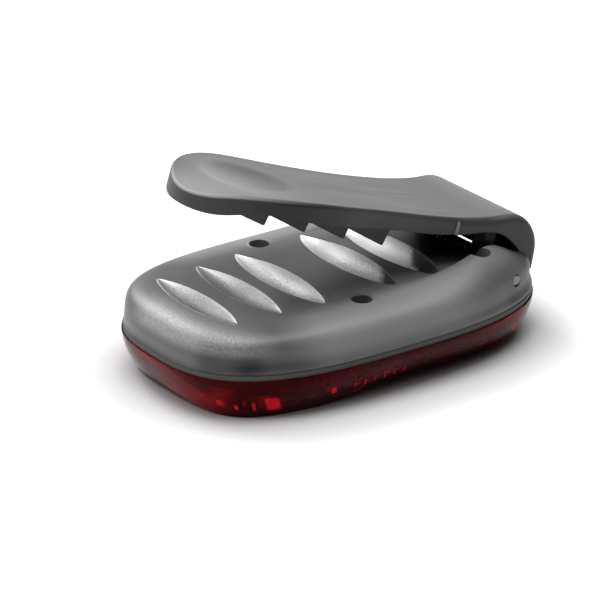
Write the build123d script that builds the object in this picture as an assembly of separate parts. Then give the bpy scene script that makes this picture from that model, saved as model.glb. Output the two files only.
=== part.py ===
from build123d import *
import math
import os

# Clip-on rear bike light, lying on its lens.
# X runs along the light from the clip's free end to its hinge, Y across it and Z up.
# The origin is on the lens face, below the middle of the light. All sizes are in millimetres.

# Outline of the light, which is built round its cells
LED_END_GAP = 0.7
CRADLE_TO_PIN = 7.0
PIN_TO_END = 13.0
CRADLE_TO_POST = 1.1
SCREW_SIDE_INSET = 9.8
OUTLINE_EXPONENT = 2.87
OUTLINE_POINTS = 32

# Heights above the lens face
LENS_RIM_Z = 8.5
GASKET_THICK = 1.1
DECK_Z = 17.6

# Walls and clearances
LENS_WALL = 1.8
HOUSING_WALL = 1.8
HOUSING_SETBACK = 0.4
GASKET_SETBACK = 0.25
SEAT_GAP = 0.3
MOVING_GAP = 0.4

# Lens
LENS_RIM_CHAMFER = 0.25
FOOT_INSET_END = 4.2
FOOT_INSET_SIDE = 4.1
FOOT_EXPONENT = 4.0
WAIST_SHARE = 0.10
WAIST_X = 4.0
WAIST_SPAN = 15.0
HINGE_END_TAPER = 0.10
FLUTE_RADIUS = 1.1
FLUTE_PITCH = 3.7
FLUTES_PER_SIDE = 8
FLUTE_FIRST_X = -18.0

# Deck, grooves and rails of the rear housing
RAIL_RISE = 3.2
RAIL_RAMP = 19.5
RAIL_FALL = 12.0
RAIL_FALL_BEFORE_PIN = 4.5
RAIL_TO_RECESS = -0.7
VALLEY_MARGIN = 1.3
GROOVE_END_INSET = 10.8
GROOVE_TO_RECESS = 11.6
GROOVES_FREE_END = 3
GROOVES_HINGE_END = 2
GROOVE_PITCH = 9.9
GROOVE_HINGE_PITCH = 10.4
GROOVE_HALF_LENGTH = 14.0
GROOVE_HALF_WIDTH = 2.9
GROOVE_DEPTH = 2.2
GROOVE_LENGTH_GROWTH = 0.7
GROOVE_WIDTH_GROWTH = 0.35
GROOVE_DEPTH_GROWTH = 0.1
GROOVE_TOP_REACH = 0.5
GROOVE_BACKING = 1.2

# Screws that hold housing and lens together
SCREW_MIDDLE_X = -5.0
SCREW_TO_RECESS = 1.9
SCREW_SHANK_RADIUS = 1.1
SCREW_HEAD_RADIUS = 1.9
SCREW_HEAD_HEIGHT = 1.4
SCREW_LENGTH = 8.0
SCREW_POINT = 1.2
SCREW_SLOT_WIDTH = 0.6
SCREW_WELL_RADIUS = 2.1
SCREW_SEAT_Z = 12.2
SCREW_HOLE_CLEARANCE = 0.15
BOSS_RADIUS = 3.3
POST_RADIUS = 2.9
BOSS_FOOT_Z = 8.4
DISH_RADIUS = 9.0
DISH_DEPTH = 0.5

# Hinge
PIN_Z = 14.4
PIN_RADIUS = 1.25
PIN_END_DEPTH = 0.3
PIN_RUNNING_GAP = 0.05
PIN_SEAT_GAP = 0.01
OPEN_ANGLE = 18.0
CLOSING_TRAVEL = 13.5
OPENING_TRAVEL = 8.0
RECESS_FLOOR_THICK = 1.4

# Clip lever, drawn closed and level, with the pin as its own origin
LEVER_HALF_WIDTH = 14.2
HOOD_SIDE_STEP = 0.5
THUMB_HALF_WIDTH = 17.1
THUMB_CENTRE = 52.85
LEVER_PLATE = 2.2
LEVER_SIDE_WALL = 2.0
LEVER_EDGE_RADIUS = 0.9
LEVER_HOOD_RADIUS = 1.6
BEND_RADIUS = 8.0
BEND_FORWARD = 2.8
BEND_CENTRE_V = 3.5
HOOD_BOTTOM_V = 0.8
HOOD_FLARE = 6.0
HOOD_LENGTH = 11.9
KNUCKLE_RADIUS = 3.3
KNUCKLE_INNER_Y = 8.2
KNUCKLE_LENGTH = 3.3
KNUCKLE_WEB = 3.0
THUMB_DISH_RADIUS = 40.0
THUMB_DISH_DEPTH = 1.0
THUMB_DISH_SHIFT = 5.3

# Saw teeth under the lever
TOOTH_COUNT = 4
TOOTH_PITCH = 10.1
TOOTH_FIRST_TIP = 58.55
TOOTH_TIP_FALL = 0.52
TOOTH_DECK_GAP = 0.86
TOOTH_WALL_REACH = 0.3
TOOTH_STEEP_RUN = 0.5
TOOTH_STEEP_RISE = 2.25
TOOTH_TIP_RADIUS = 0.45

# Torsion spring round the hinge pin
SPRING_WIRE = 0.8
SPRING_MEAN_RADIUS = 2.4
SPRING_PITCH = 1.3
SPRING_TURNS = 8
SPRING_LEVER_LEG = 7.0

# Two slim cylindrical cells, side by side
CELL_RADIUS = 5.25
CELL_BODY_LENGTH = 43.3
CELL_NUB_LENGTH = 1.2
CELL_NUB_RADIUS = 1.9
CELL_SPACING = 11.2
CELL_Z = 8.6
CELL_END_BEVEL = 0.5

# Cell cradle and its contacts
CRADLE_FLOOR_Z = 3.7
CRADLE_TOP_Z = 9.4
CRADLE_WALL = 1.3
CRADLE_SIDE_GAP = 0.25
CRADLE_EAR_X = 12.0
CRADLE_EAR_LENGTH = 6.0
CRADLE_EAR_REACH = 2.2
CONTACT_THICK = 0.4
CONTACT_ROOM = 3.2
CONTACT_WIDTH = 8.0
CONTACT_HEIGHT = 8.0
COIL_WIRE = 0.5
COIL_BASE_RADIUS = 3.0
COIL_TOP_RADIUS = 1.6
COIL_TURNS = 2
TAB_WIDTH = 2.4

# Circuit board and what it carries
BOARD_WALL_GAP = 1.6
BOARD_BOTTOM_Z = 5.2
BOARD_THICK = 1.2
BOARD_CRADLE_GAP = 0.4
POST_SHOULDER = 1.2
LED_SPACING = 10.0
LED_COUNT = 3
LED_BASE = 3.5
LED_BASE_HEIGHT = 0.8
LED_DOME_RADIUS = 1.4
CUP_MOUTH_RADIUS = 3.3
CUP_BASE_RADIUS = 2.8
CUP_WALL = 0.5
REFLECTOR_Z = 2.4
REFLECTOR_PLATE = 0.6
SWITCH_SIDE = 6.0
SWITCH_HEIGHT = 1.5
PLUNGER_RADIUS = 1.5
PLUNGER_REACH = 0.8
PLUNGER_DEPTH = 0.4
PLUNGER_END_GAP = 0.2
CHIP_SIZE = (5.0, 4.0, 1.3)
CHIP_FROM_SCREW = (-12.4, 0.7)
CHIP_LEGS_PER_SIDE = 4
CHIP_LEG_WIDTH = 0.5
CHIP_LEG_REACH = 0.8
RESISTOR_SIZE = (2.0, 1.2, 0.6)
RESISTORS_FROM_SCREW = 6.2
RESISTOR_PITCH = 2.9
RESISTOR_COUNT = 5
CAPACITOR_RADIUS = 2.0
CAPACITOR_HEIGHT = 3.2
CAPACITOR_FROM_SCREW = -6.0
CAPACITOR_SEAT = 0.5

# Push button in the lens face
BUTTON_RADIUS = 5.0
BUTTON_RECESS = 0.3
BUTTON_GAP = 0.35
BUTTON_TRAVEL = 0.5
BUTTON_FLANGE_RADIUS = 6.2
BUTTON_FLANGE_THICK = 0.5
BUTTON_POST_RADIUS = 2.0
BUTTON_EDGE_RADIUS = 0.5
BUTTON_DIMPLE_RADIUS = 15.0
BUTTON_DIMPLE_DEPTH = 0.4

# Reflex panel behind the middle of the lens
PANEL_LED_GAP = 3.7
PANEL_BUTTON_GAP = 2.3
PANEL_THICK = 0.7
PRISM_PITCH = 3.0
PRISM_HEIGHT = 0.5

# Sizes worked out from the ones above: cells, cradle and the room round them
CELL_LENGTH = CELL_BODY_LENGTH + CELL_NUB_LENGTH
CRADLE_LENGTH = CELL_LENGTH + CONTACT_ROOM + SEAT_GAP + 2 * (CONTACT_THICK + CRADLE_WALL)
CRADLE_HALF_WIDTH = CELL_SPACING / 2 + CELL_RADIUS + CRADLE_SIDE_GAP + CRADLE_WALL
CUP_RIM_RADIUS = CUP_MOUTH_RADIUS + CUP_WALL
LED_END_LENGTH = FOOT_INSET_END + LENS_WALL + LED_END_GAP + 2 * CUP_RIM_RADIUS + SEAT_GAP
BODY_LENGTH = LED_END_LENGTH + CRADLE_LENGTH + CRADLE_TO_PIN + PIN_TO_END
SCREW_Y = CRADLE_HALF_WIDTH + CRADLE_TO_POST + POST_SHOULDER + POST_RADIUS
BODY_WIDTH = 2 * (SCREW_Y + SCREW_SIDE_INSET)
HALF_LENGTH = BODY_LENGTH / 2
HALF_WIDTH = BODY_WIDTH / 2
BIG = 2 * BODY_LENGTH

# Places along the light
CRADLE_START_X = LED_END_LENGTH - HALF_LENGTH
CRADLE_END_X = CRADLE_START_X + CRADLE_LENGTH
CRADLE_MIDDLE_X = (CRADLE_START_X + CRADLE_END_X) / 2
CONTACT_LEFT_X = CRADLE_START_X + CRADLE_WALL
CELL_FIRST_X = CONTACT_LEFT_X + CONTACT_THICK + CONTACT_ROOM
CONTACT_RIGHT_X = CELL_FIRST_X + CELL_LENGTH + SEAT_GAP
LED_ROW_X = CRADLE_START_X - SEAT_GAP - CUP_RIM_RADIUS
PIN_X = CRADLE_END_X + CRADLE_TO_PIN
RECESS_FRONT_X = PIN_X - KNUCKLE_RADIUS - MOVING_GAP
SCREW_HINGE_X = RECESS_FRONT_X - SCREW_TO_RECESS
RAIL_START_X = RECESS_FRONT_X - RAIL_TO_RECESS - RAIL_RAMP
SWITCH_X = HALF_LENGTH - FOOT_INSET_END - LENS_WALL - SEAT_GAP - BUTTON_FLANGE_RADIUS
PANEL_START_X = LED_ROW_X + CUP_RIM_RADIUS + PANEL_LED_GAP
PANEL_END_X = SWITCH_X - BUTTON_FLANGE_RADIUS - PANEL_BUTTON_GAP
SCREW_PLACES = [(x, y) for x in (SCREW_MIDDLE_X, SCREW_HINGE_X) for y in (-SCREW_Y, SCREW_Y)]
GROOVE_PLACES = [GROOVE_END_INSET - HALF_LENGTH + i * GROOVE_PITCH for i in range(GROOVES_FREE_END)]
GROOVE_PLACES += [RECESS_FRONT_X - GROOVE_TO_RECESS - i * GROOVE_HINGE_PITCH
                  for i in reversed(range(GROOVES_HINGE_END))]

# Widths and heights
PANEL_HALF_WIDTH = SCREW_Y - POST_RADIUS - POST_SHOULDER - SEAT_GAP
HOUSING_FOOT_Z = LENS_RIM_Z + GASKET_THICK
SHOULDER_HEIGHT = DECK_Z - HOUSING_FOOT_Z
BOARD_TOP_Z = BOARD_BOTTOM_Z + BOARD_THICK
SWITCH_BOTTOM_Z = BOARD_BOTTOM_Z - SWITCH_HEIGHT
PLUNGER_TIP_Z = SWITCH_BOTTOM_Z - PLUNGER_REACH

# Lever, and what lies under it when it is closed and when it is wide open
HOOD_HALF_WIDTH = LEVER_HALF_WIDTH + HOOD_SIDE_STEP
RECESS_HALF_WIDTH = HOOD_HALF_WIDTH + MOVING_GAP
VALLEY_HALF_WIDTH = RECESS_HALF_WIDTH + VALLEY_MARGIN
VALLEY_INSET = HALF_WIDTH - HOUSING_SETBACK - VALLEY_HALF_WIDTH
LEVER_REACH = THUMB_CENTRE + THUMB_HALF_WIDTH
CLOSED_ANGLE = math.radians(OPEN_ANGLE - CLOSING_TRAVEL)
WIDEST_ANGLE = math.radians(OPEN_ANGLE + OPENING_TRAVEL)
TOOTH_LAST_TIP = TOOTH_FIRST_TIP - (TOOTH_COUNT - 1) * TOOTH_PITCH
TOOTH_LAST_TIP_Z = DECK_Z + TOOTH_DECK_GAP - PIN_Z
TOOTH_LAST_TIP_V = TOOTH_LAST_TIP_Z - TOOTH_LAST_TIP * math.sin(CLOSED_ANGLE)
TOOTH_LAST_TIP_V /= math.cos(CLOSED_ANGLE)
TOOTH_FIRST_TIP_V = TOOTH_LAST_TIP_V + (TOOTH_COUNT - 1) * TOOTH_TIP_FALL
HEEL_REACH = BEND_FORWARD + BEND_RADIUS / math.cos(math.radians(HOOD_FLARE))
HEEL_REACH += (BEND_CENTRE_V - HOOD_BOTTOM_V) * math.tan(math.radians(HOOD_FLARE))
HEEL_DROP = HEEL_REACH * math.sin(WIDEST_ANGLE) - HOOD_BOTTOM_V * math.cos(WIDEST_ANGLE)
RECESS_FLOOR_Z = PIN_Z - HEEL_DROP - MOVING_GAP


def blend(share):
    """Smooth step from 0 to 1."""
    share = min(1.0, max(0.0, share))
    return share * share * (3 - 2 * share)


def oval_point(angle, half_length, half_width, exponent):
    """Point of a superellipse at a parameter angle in radians."""
    c, s = math.cos(angle), math.sin(angle)
    x = half_length * math.copysign(abs(c) ** (2 / exponent), c)
    y = half_width * math.copysign(abs(s) ** (2 / exponent), s)
    return x, y


def ring(point_at):
    """Closed smooth wire through the points that point_at(angle) gives."""
    step = 2 * math.pi / OUTLINE_POINTS
    points = [point_at(i * step) for i in range(OUTLINE_POINTS)]
    return Wire([Edge.make_spline([Vector(*p) for p in points], periodic=True)])


def outline_ring(inset, z, exponent=OUTLINE_EXPONENT):
    """The light's outline, moved inwards by inset, at height z."""
    def point_at(angle):
        x, y = oval_point(angle, HALF_LENGTH - inset, HALF_WIDTH - inset, exponent)
        return x, y, z
    return ring(point_at)


def outline_prism(inset, bottom, top):
    """Straight prism of the light's outline between two heights."""
    return Solid.extrude(Face(outline_ring(inset, bottom)), Vector(0, 0, top - bottom))


def hollow(outer_rings, inner_rings, mouth_z):
    """Shell between two lofts that are both open at the height of their mouth."""
    faces = []
    mouths = []
    for rings in (outer_rings, inner_rings):
        for face in Solid.make_loft(rings).faces():
            box = face.bounding_box()
            if max(abs(box.min.Z - mouth_z), abs(box.max.Z - mouth_z)) < 1e-4:
                mouths.append(face.outer_wire())
            else:
                faces.append(face)
    return Solid(Shell(faces + [Face(mouths[0], [mouths[1]])]))


def block(x0, x1, y0, y1, z0, z1):
    """Box between two corners."""
    return Pos((x0 + x1) / 2, (y0 + y1) / 2, (z0 + z1) / 2) * Box(x1 - x0, y1 - y0, z1 - z0)


def post(x, y, z0, z1, radius):
    """Upright cylinder between two heights."""
    return Pos(x, y, (z0 + z1) / 2) * Cylinder(radius, z1 - z0)


def bar(x, y0, y1, z, radius):
    """Cylinder along Y."""
    return Pos(x, (y0 + y1) / 2, z) * Rot(90, 0, 0) * Cylinder(radius, y1 - y0)


def side_slab(edges, half_width):
    """Extrude a closed outline in the XZ plane to both sides of the middle."""
    return extrude(make_face(edges), amount=half_width, dir=(0, 1, 0), both=True)


# Lens

# Each section: share of the rim's height, share of the way from the rim's outline to the foot's
LENS_SECTIONS = (
    (0.0, 1.06), (0.085, 0.90), (0.21, 0.69), (0.38, 0.44), (0.58, 0.22), (0.80, 0.06), (1.0, 0.0))


def foot_point(angle, inset):
    """Outline of the lens face: squarer than the rim, waisted, and narrower at the hinge end."""
    x, y = oval_point(angle, HALF_LENGTH - FOOT_INSET_END - inset,
                      HALF_WIDTH - FOOT_INSET_SIDE - inset, FOOT_EXPONENT)
    y *= 1 - WAIST_SHARE * math.exp(-((x - WAIST_X) / WAIST_SPAN) ** 2)
    y *= 1 - HINGE_END_TAPER * blend(x / HALF_LENGTH)
    return x, y


def lens_ring(z, share, inset=0.0):
    """Lens section at height z, a share of the way from the rim's outline to the foot's."""
    def point_at(angle):
        rim = oval_point(angle, HALF_LENGTH - inset, HALF_WIDTH - inset, OUTLINE_EXPONENT)
        foot = foot_point(angle, inset)
        return rim[0] + (foot[0] - rim[0]) * share, rim[1] + (foot[1] - rim[1]) * share, z
    return ring(point_at)


def lens_share(z):
    """How far towards the foot's outline the lens wall has come at height z."""
    height = z / LENS_RIM_Z
    for (low, low_share), (high, high_share) in zip(LENS_SECTIONS, LENS_SECTIONS[1:]):
        if height <= high:
            return low_share + (high_share - low_share) * (height - low) / (high - low)
    return 0.0


def wall_y(x, inset):
    """Half width of the light's outline, moved inwards by inset, at a place along it."""
    share = 1 - abs(x / (HALF_LENGTH - inset)) ** OUTLINE_EXPONENT
    return (HALF_WIDTH - inset) * share ** (1 / OUTLINE_EXPONENT)


def lens():
    """Red bowl that closes the light: rim, side walls with flutes, flat face, screw posts."""
    outer = [lens_ring(LENS_RIM_Z * h, share) for h, share in LENS_SECTIONS]
    depth = LENS_RIM_Z - LENS_WALL
    inner = [lens_ring(LENS_WALL + depth * h, share, LENS_WALL) for h, share in LENS_SECTIONS]
    bowl = hollow(outer, inner, LENS_RIM_Z)
    flutes = []
    flute_top = LENS_RIM_Z - LENS_WALL
    for i in range(FLUTES_PER_SIDE):
        x = FLUTE_FIRST_X + i * FLUTE_PITCH
        y = wall_y(x, LENS_WALL + 0.25 * FOOT_INSET_SIDE)
        flutes += [post(x, side * y, LENS_WALL / 2, flute_top, FLUTE_RADIUS) for side in (-1, 1)]
    within = Solid.make_loft([lens_ring(LENS_RIM_Z * h, share, LENS_WALL / 2)
                              for h, share in LENS_SECTIONS])
    posts = [post(x, y, LENS_WALL / 2, BOSS_FOOT_Z, POST_RADIUS) for x, y in SCREW_PLACES]
    posts += [within & post(x, y, LENS_WALL / 2, BOARD_BOTTOM_Z, POST_RADIUS + POST_SHOULDER)
              for x, y in SCREW_PLACES]
    bowl = bowl + [within & flute for flute in flutes] + posts
    tip = SCREW_SEAT_Z - SCREW_LENGTH - SEAT_GAP
    pilots = [post(x, y, tip, BOSS_FOOT_Z + 1, SCREW_SHANK_RADIUS) for x, y in SCREW_PLACES]
    window = post(SWITCH_X, 0, -1, 2 * LENS_WALL, BUTTON_RADIUS + BUTTON_GAP)
    return bowl - pilots - window


def lens_gasket():
    """Seal between lens and housing, seen as a thin band round the light."""
    band = outline_prism(GASKET_SETBACK, LENS_RIM_Z, HOUSING_FOOT_Z)
    return band - outline_prism(LENS_WALL, LENS_RIM_Z - 1, HOUSING_FOOT_Z + 1)


# Rear housing

# Each section: inset of half length, inset of half width, exponent, shift along X,
# drop below the deck as a share of the shoulder, share of the rail's rise
HOUSING_SECTIONS = (
    (0.00, 0.00, 2.87, 0.0, 1.000, 0.00),
    (0.15, 0.15, 2.87, 0.0, 0.780, 0.00),
    (0.80, 0.80, 3.05, 0.0, 0.440, 0.10),
    (2.20, 2.20, 3.35, 0.0, 0.215, 0.38),
    (4.40, 4.40, 3.50, 0.0, 0.080, 0.70),
    (6.60, VALLEY_INSET - 4.2, 3.60, 0.3, 0.022, 0.93),
    (8.00, VALLEY_INSET - 2.6, 3.70, 0.7, 0.006, 1.00),
    (9.10, VALLEY_INSET - 1.3, 3.85, 1.2, 0.001, 0.88),
    (10.2, VALLEY_INSET, 4.0, 1.6, 0.0, 0.0),
)
# Each section of the room inside: inset from the wall, share of the height to the ceiling
CAVITY_SECTIONS = ((0.0, 0.0), (0.3, 0.35), (1.4, 0.62), (3.4, 0.85), (6.2, 0.97), (9.0, 1.0))


def rail_rise(x):
    """How far the side rails stand above the deck: they swell to the recess and fall past it."""
    fall = blend((x - PIN_X + RAIL_FALL_BEFORE_PIN) / RAIL_FALL)
    return RAIL_RISE * blend((x - RAIL_START_X) / RAIL_RAMP) * (1 - fall)


def housing_ring(inset_x, inset_y, exponent, shift, drop, rise):
    """One closed section of the housing's skin, lifted where the rails are."""
    def point_at(angle):
        x, y = oval_point(angle, HALF_LENGTH - HOUSING_SETBACK - inset_x,
                          HALF_WIDTH - HOUSING_SETBACK - inset_y, exponent)
        return x + shift, y, DECK_Z - drop * SHOULDER_HEIGHT + rise * rail_rise(x + shift)
    return ring(point_at)


def spindle(number, margin=0.0):
    """Lemon-shaped cutter across the deck for one groove, made larger all round by a margin."""
    half_length = GROOVE_HALF_LENGTH + number * GROOVE_LENGTH_GROWTH
    half_width = GROOVE_HALF_WIDTH + number * GROOVE_WIDTH_GROWTH + margin
    depth = GROOVE_DEPTH + number * GROOVE_DEPTH_GROWTH + margin
    x = GROOVE_PLACES[number]
    lift = (half_width ** 2 - depth ** 2) / (2 * depth)
    radius = lift + depth
    arc_radius = (half_length ** 2 + depth ** 2) / (2 * depth)
    reach = math.sqrt(2 * arc_radius * radius - radius ** 2)
    z = DECK_Z + lift
    turn = math.asin(reach / arc_radius)
    angles = [turn * i / 4 for i in range(-4, 5)]
    line = [Vector(x, arc_radius * math.sin(a), z - radius + arc_radius * (1 - math.cos(a)))
            for a in angles]
    profile = make_face([Edge.make_spline(line), Edge.make_line(line[-1], line[0])])
    return revolve(profile, axis=Axis((x, 0, z), (0, 1, 0)), revolution_arc=360)


def recess_tub():
    """Floor and walls round the hinge recess, on the inside of the housing."""
    half = RECESS_HALF_WIDTH + HOUSING_WALL
    box = block(RECESS_FRONT_X - HOUSING_WALL, BIG, -half, half, RECESS_FLOOR_Z - RECESS_FLOOR_THICK, BIG)
    step_z = PIN_Z - SEAT_GAP
    top_z = DECK_Z - 0.7 * HOUSING_WALL
    inside_lens = outline_prism(LENS_WALL + 2 * SEAT_GAP, 0, HOUSING_FOOT_Z)
    inside_wall = outline_prism(HOUSING_SETBACK + HOUSING_WALL / 2, HOUSING_FOOT_Z, step_z)
    inside_shoulder = outline_prism(HOUSING_SETBACK + 2 * HOUSING_WALL, step_z, top_z)
    return (box & inside_lens) + (box & inside_wall) + (box & inside_shoulder)


def rear_housing():
    """Grey moulded back: deck with leaf-shaped grooves, screw wells, rails, hinge cheeks."""
    base = HOUSING_SETBACK + HOUSING_WALL
    ceiling = DECK_Z - HOUSING_WALL
    skin = [housing_ring(*section) for section in HOUSING_SECTIONS]
    room = [outline_ring(base + inset, HOUSING_FOOT_Z + (ceiling - HOUSING_FOOT_Z) * share)
            for inset, share in CAVITY_SECTIONS]
    shell = hollow(skin, room, HOUSING_FOOT_Z)
    mid_deck = DECK_Z - HOUSING_WALL / 2
    below_deck = block(-BIG, BIG, -BIG, BIG, 0, mid_deck)
    groove_room = block(-BIG, BIG, -BIG, BIG, 0, DECK_Z + GROOVE_TOP_REACH)
    numbers = range(len(GROOVE_PLACES))
    backing = [below_deck & spindle(i, GROOVE_BACKING) for i in numbers]
    bosses = [post(x, y, BOSS_FOOT_Z, mid_deck, BOSS_RADIUS) for x, y in SCREW_PLACES]
    shell = shell + (backing + bosses + [recess_tub()])
    shell = shell - [groove_room & spindle(i) for i in numbers]
    cuts = [block(RECESS_FRONT_X, BIG, -RECESS_HALF_WIDTH, RECESS_HALF_WIDTH, RECESS_FLOOR_Z, BIG)]
    cuts.append(bar(PIN_X, -HALF_WIDTH, HALF_WIDTH, PIN_Z, PIN_RADIUS + PIN_SEAT_GAP))
    for x, y in SCREW_PLACES:
        dish_z = DECK_Z + rail_rise(x) + DISH_RADIUS - DISH_DEPTH
        cuts.append(post(x, y, SCREW_SEAT_Z, BIG, SCREW_WELL_RADIUS))
        cuts.append(post(x, y, 0, BIG, SCREW_SHANK_RADIUS + SCREW_HOLE_CLEARANCE))
        cuts.append(Pos(x, y, dish_z) * Sphere(DISH_RADIUS))
    return shell - cuts


def housing_screws():
    """Pan-head self-tapping screws at the bottom of the wells."""
    screws = []
    for x, y in SCREW_PLACES:
        tip_z = SCREW_SEAT_Z - SCREW_LENGTH
        head_top = SCREW_SEAT_Z + SCREW_HEAD_HEIGHT
        head = post(x, y, SCREW_SEAT_Z, head_top, SCREW_HEAD_RADIUS)
        head = fillet(head.edges().group_by(Axis.Z)[-1], 0.45 * SCREW_HEAD_HEIGHT)
        shank = post(x, y, tip_z + SCREW_POINT, SCREW_SEAT_Z, SCREW_SHANK_RADIUS)
        point = Pos(x, y, tip_z + SCREW_POINT / 2) * Cone(SCREW_POINT / 4, SCREW_SHANK_RADIUS, SCREW_POINT)
        screw = head + shank + point
        for turn in (0, 90):
            slot = Box(1.3 * SCREW_HEAD_RADIUS, SCREW_SLOT_WIDTH, SCREW_HEAD_HEIGHT)
            screw = screw - Pos(x, y, head_top) * Rot(0, 0, turn) * slot
        screws.append(screw)
    return Compound(children=[screw.solid() for screw in screws])


# Hinge

def cheek_y():
    """Half width of the housing's outer face at the height of the pin."""
    def on_section(inset_x, inset_y, exponent, shift, drop, rise):
        share = 1 - abs((PIN_X - shift) / (HALF_LENGTH - HOUSING_SETBACK - inset_x)) ** exponent
        y = (HALF_WIDTH - HOUSING_SETBACK - inset_y) * share ** (1 / exponent)
        return DECK_Z - drop * SHOULDER_HEIGHT + rise * rail_rise(PIN_X), y
    places = [on_section(*section) for section in HOUSING_SECTIONS[:4]]
    pairs = zip(places, places[1:])
    (low_z, low_y), (high_z, high_y) = next(p for p in pairs if p[1][0] >= PIN_Z)
    return low_y + (high_y - low_y) * (PIN_Z - low_z) / (high_z - low_z)


def hinge_pin():
    """Steel pin through both cheeks and both knuckles, with bevelled ends."""
    end = cheek_y() - PIN_END_DEPTH
    pin = bar(PIN_X, -end, end, PIN_Z, PIN_RADIUS)
    return chamfer(pin.edges().filter_by(GeomType.CIRCLE), 0.2 * PIN_RADIUS)


def biarc(start, start_way, end, end_way):
    """Two arcs that leave a point and reach another along given directions."""
    gap = end - start
    both = start_way + end_way
    a = 2 * (start_way.dot(end_way) - 1)
    b = -2 * gap.dot(both)
    c = gap.dot(gap)
    reach = (-b - math.sqrt(b * b - 4 * a * c)) / (2 * a)
    middle = (start + start_way * reach + end - end_way * reach) / 2
    middle_way = (end - end_way * reach - start - start_way * reach).normalized()
    return [Edge.make_tangent_arc(start, start_way, middle), Edge.make_tangent_arc(middle, middle_way, end)]


def clip_spring():
    """Torsion spring round the pin: one leg on the recess floor, one under the lever's bend."""
    turns = SPRING_TURNS + 0.25
    half_span = SPRING_PITCH * turns / 2
    slope = SPRING_PITCH / (2 * math.pi * SPRING_MEAN_RADIUS)

    def place(turn):
        angle = 2 * math.pi * turn + math.pi / 4
        return Vector(PIN_X - SPRING_MEAN_RADIUS * math.sin(angle), SPRING_PITCH * turn - half_span,
                      PIN_Z - SPRING_MEAN_RADIUS * math.cos(angle))

    def way(turn):
        angle = 2 * math.pi * turn + math.pi / 4
        return Vector(-math.cos(angle), slope, math.sin(angle)).normalized()

    edges = []
    steps = int(4 * turns)
    for i in range(steps):
        edges += biarc(place(i / 4), way(i / 4), place((i + 1) / 4), way((i + 1) / 4))
    first, last = place(0), place(steps / 4)
    floor_leg = (first.Z - RECESS_FLOOR_Z - SPRING_WIRE / 2 - SEAT_GAP) / way(0).Z
    edges.insert(0, Edge.make_line(first - way(0) * floor_leg, first))
    edges.append(Edge.make_line(last, last + way(steps / 4) * SPRING_LEVER_LEG))
    path = Wire(edges)
    circle = Wire(Edge.make_circle(SPRING_WIRE / 2, Plane(origin=path @ 0, z_dir=path % 0)))
    points = [place(i / 12) for i in range(3 * steps + 1)]
    gaps = [(a - b).length for i, a in enumerate(points) for b in points[i + 6:]]
    print(f"clip spring: least gap to itself {min(gaps) - SPRING_WIRE:.2f} mm")
    return Solid.sweep(circle, path=path)


# Clip lever

# Top line of the lever, from where the bend ends to the tip: distance from the pin, height
LEVER_TOP = ((1.0, 10.8), (5.0, 10.1), (9.0, 9.7), (13.0, 9.45), (20.1, 9.3), (32.1, 9.4), (44.1, 9.7),
             (THUMB_CENTRE, 9.9), (59.8, 9.5), (63.6, 8.9), (66.6, 7.9), (LEVER_REACH, 6.0))
# Lower edge of the side walls, from the tip to the arch over the hinge cheek
LEVER_UNDER = ((LEVER_REACH, 3.0), (68.0, 3.5), (64.5, 5.1), (59.5, 6.3), (52.0, 6.1), (39.0, 5.6),
               (28.1, 5.7), (17.1, 5.7), (9.1, 6.5), (1.1, 7.4), (-4.1, 5.4), (-8.0, HOOD_BOTTOM_V))
# Half width of the lever, from the front of the hood to the middle of the round thumb pad
LEVER_PLAN = ((HOOD_LENGTH, LEVER_HALF_WIDTH), (20.1, LEVER_HALF_WIDTH), (29.1, LEVER_HALF_WIDTH + 0.2),
              (38.1, 15.4), (46.1, 16.5), (THUMB_CENTRE, THUMB_HALF_WIDTH))


def lever_point(u, v, y=0.0):
    """Point at a distance from the pin towards the tip and a height above it."""
    return Vector(-u, y, v)


def lever_top_edges(inset):
    """Rear wall, bend and top line of the lever in side view, moved inwards by inset."""
    radius = BEND_RADIUS - inset
    flare = math.radians(HOOD_FLARE)

    def on_bend(angle):
        across, up = radius * math.cos(angle), radius * math.sin(angle)
        return lever_point(-BEND_FORWARD - across, BEND_CENTRE_V + up)

    shoulder, middle, crest = (on_bend(angle) for angle in (flare, (flare + math.pi / 2) / 2, math.pi / 2))
    heel = shoulder + Vector(math.tan(flare), 0, -1) * (shoulder.Z - HOOD_BOTTOM_V)
    line = [crest] + [lever_point(u, v - inset) for u, v in LEVER_TOP]
    return [Edge.make_line(heel, shoulder), Edge.make_three_point_arc(shoulder, middle, crest),
            Edge.make_spline(line, tangents=[Vector(-1, 0, 0), line[-1] - line[-2]])]


def close_by(edges, points):
    """Close a side outline with straight lines through more points."""
    corners = [edges[-1] @ 1] + points + [edges[0] @ 0]
    return edges + [Edge.make_line(a, b) for a, b in zip(corners, corners[1:])]


def lever_plan(inset):
    """Plan prism of the lever: parallel at the hood, swelling to a round thumb pad."""
    radius = THUMB_HALF_WIDTH - inset
    upper = [Vector(-u, w - inset, -BIG) for u, w in LEVER_PLAN]
    upper += [Vector(-THUMB_CENTRE - radius * math.sin(turn), radius * math.cos(turn), -BIG)
              for turn in (math.pi / 8, math.pi / 4, 3 * math.pi / 8)]
    tip = Vector(-THUMB_CENTRE - radius, 0, -BIG)
    lower = [Vector(p.X, -p.Y, p.Z) for p in reversed(upper)]
    curve = Edge.make_spline(upper + [tip] + lower)
    hood, rear = HOOD_HALF_WIDTH - inset, BEND_RADIUS + BEND_FORWARD + 1
    corners = [lower[-1], Vector(-HOOD_LENGTH, -hood, -BIG), Vector(rear, -hood, -BIG),
               Vector(rear, hood, -BIG), Vector(-HOOD_LENGTH, hood, -BIG), upper[0]]
    edges = [curve] + [Edge.make_line(a, b) for a, b in zip(corners, corners[1:])]
    return extrude(make_face(edges), amount=2 * BIG, dir=(0, 0, 1))


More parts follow.
